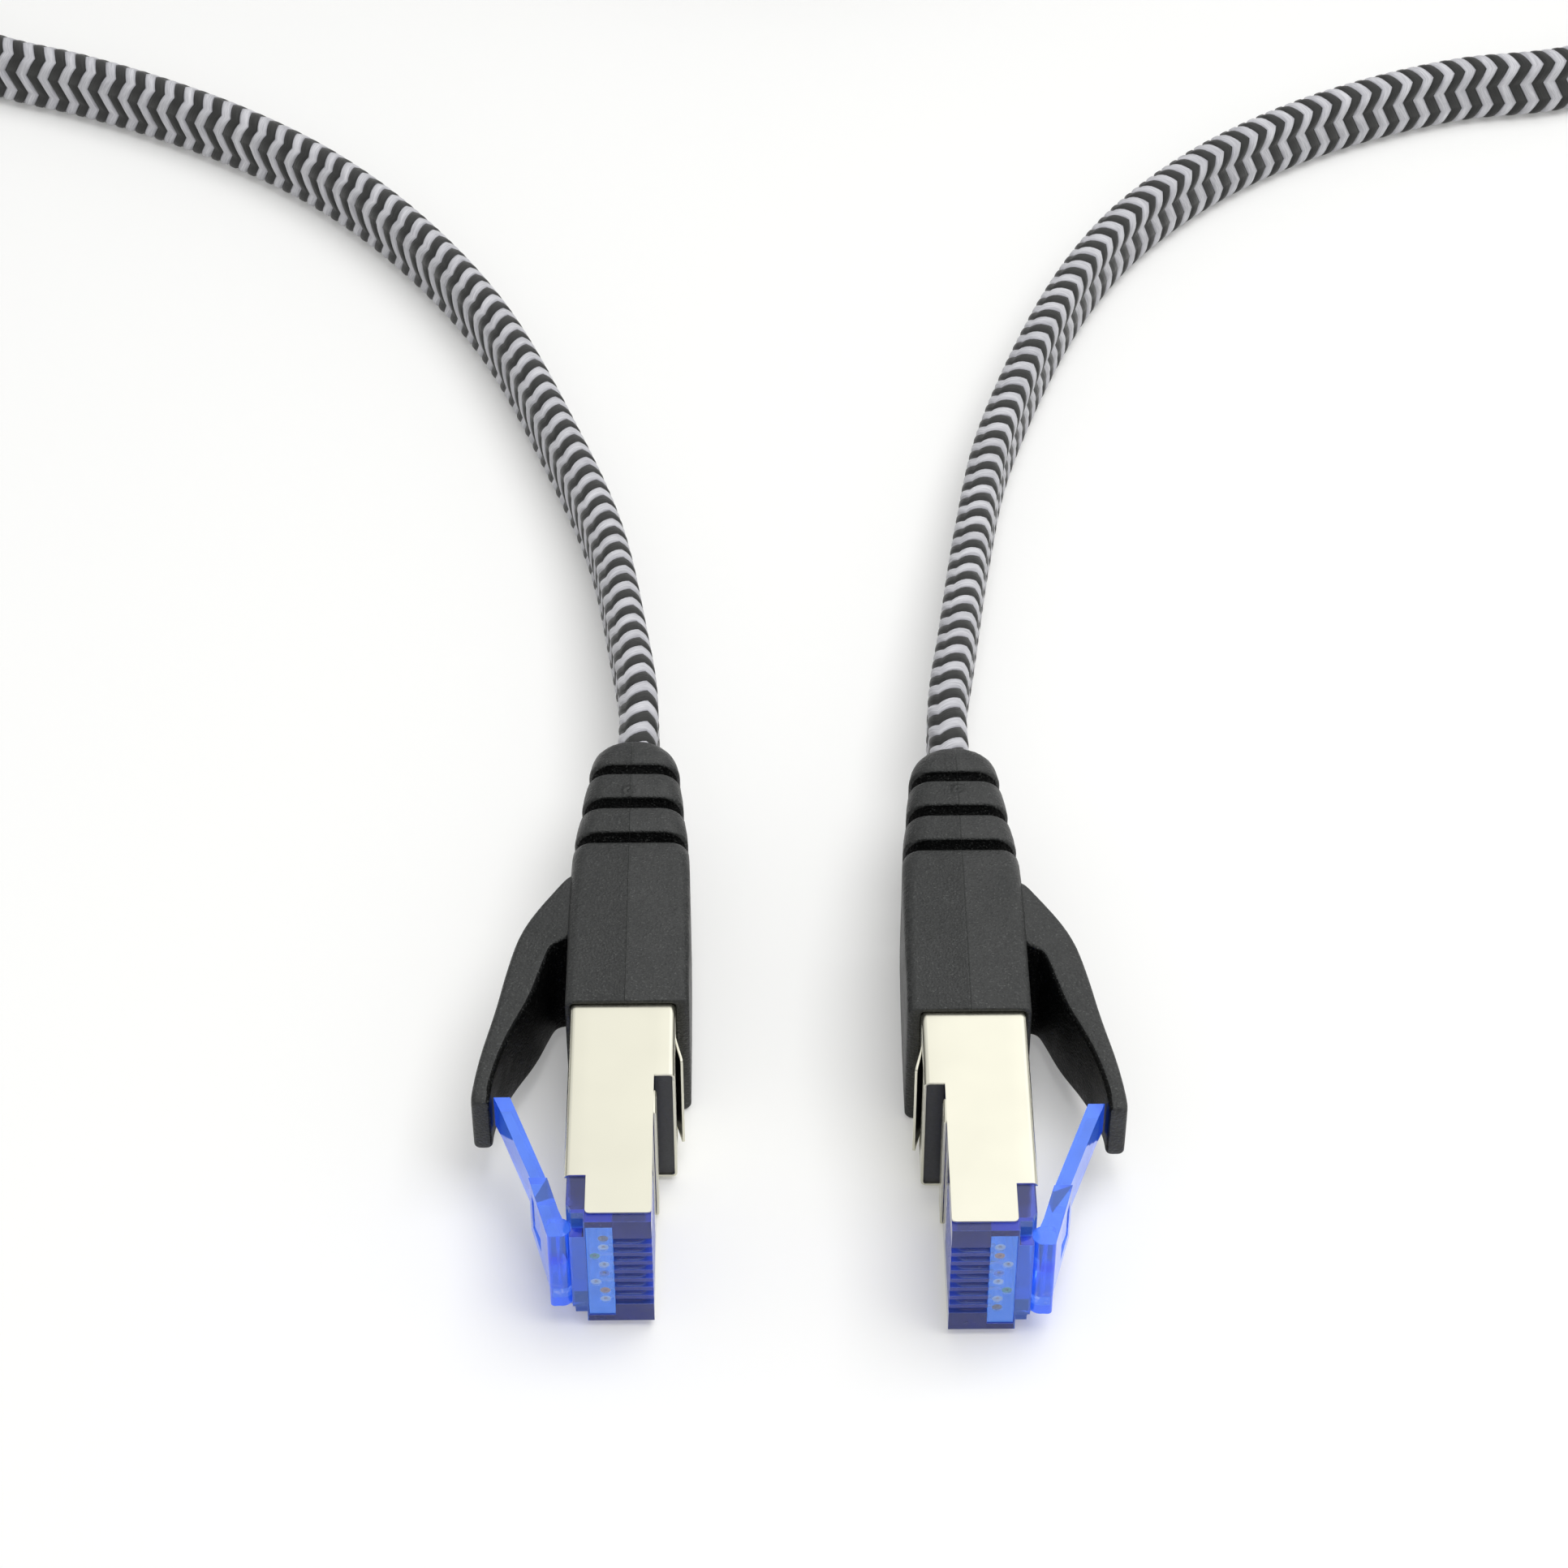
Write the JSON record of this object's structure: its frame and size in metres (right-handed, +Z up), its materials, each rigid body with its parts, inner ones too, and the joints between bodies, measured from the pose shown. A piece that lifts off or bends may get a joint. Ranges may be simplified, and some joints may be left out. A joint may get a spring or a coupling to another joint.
{
  "type": "ethernet patch cable",
  "caption": "Patch cable with a flat braided cord on edge and a shielded clear blue 8P8C plug on each end, each with a grooved boot, a flexing latch and a latch guard.",
  "frame": {"origin": "on the surface the cable lies on, midway between the two plugs", "axes": "+Z up; -Y the way the plugs point, +Y towards the cord; +X towards the right plug, whose contacts face the left one's across the middle"},
  "size_m": [0.2111, 0.2778, 0.0155],
  "materials": {
    "blue_clear": "clear blue polycarbonate, moulded",
    "nickel": "nickel-plated sheet, satin",
    "gold": "gold-plated, polished",
    "frosted": "frosted clear polycarbonate",
    "brown": "extruded insulation, brown and white",
    "green": "extruded insulation, green and white",
    "blue": "extruded insulation, blue and white",
    "orange": "extruded insulation, orange and white",
    "copper": "bare drawn copper",
    "foil": "bright foil",
    "tinned": "tinned wire and crimped tin plate",
    "mould": "moulded black polyethylene",
    "boot": "spark-textured dark grey soft PVC",
    "braid": "braided yarn in black and pale grey"
  },
  "bodies": {
    "cable": {"left_housing": "blue_clear", "left_shield": "nickel", "left_contacts": "gold", "left_load_bar": "frosted", "left_brown_pair": "brown", "left_green_pair": "green", "left_blue_pair": "blue", "left_orange_pair": "orange", "left_copper_cores": "copper", "left_pair_foils": "foil", "left_drain_wire": "tinned", "left_crimp_ferrule": "tinned", "left_inner_mould": "mould", "left_boot": "boot", "left_cable_end": "braid", "right_housing": "blue_clear", "right_shield": "nickel", "right_contacts": "gold", "right_load_bar": "frosted", "right_brown_pair": "brown", "right_green_pair": "green", "right_blue_pair": "blue", "right_orange_pair": "orange", "right_copper_cores": "copper", "right_pair_foils": "foil", "right_drain_wire": "tinned", "right_crimp_ferrule": "tinned", "right_inner_mould": "mould", "right_boot": "boot", "right_cable_end": "braid", "left_cord": "braid", "cord_coil": "braid", "right_cord": "braid"},
    "left_latch": {"left_latch_lever": "blue_clear"},
    "left_guard": {"left_latch_guard": "boot"},
    "right_latch": {"right_latch_lever": "blue_clear"},
    "right_guard": {"right_latch_guard": "boot"}
  },
  "joints": [
    {"name": "left_guard_press", "type": "hinge", "parent": "cable", "child": "left_guard", "pos_m": [-0.0204, 0.00385, 0.0065], "axis": [0, 0, 1], "range_deg": [0, 12], "stiffness_Nm_per_rad": 0.02},
    {"name": "left_latch_flex", "type": "hinge", "parent": "cable", "child": "left_latch", "pos_m": [-0.0182, -0.0255, 0.0065], "axis": [0, 0, -1], "range_deg": [0, 11.4]},
    {"name": "right_guard_press", "type": "hinge", "parent": "cable", "child": "right_guard", "pos_m": [0.0204, 0.00275, 0.0065], "axis": [0, 0, -1], "range_deg": [0, 12], "stiffness_Nm_per_rad": 0.02},
    {"name": "right_latch_flex", "type": "hinge", "parent": "cable", "child": "right_latch", "pos_m": [0.0182, -0.0266, 0.0065], "axis": [0, 0, 1], "range_deg": [0, 11.4]}
  ],
  "couplings": [
    {"joint": "left_latch_flex", "follows": "left_guard_press", "ratio": 0.95},
    {"joint": "right_latch_flex", "follows": "right_guard_press", "ratio": 0.95}
  ]
}
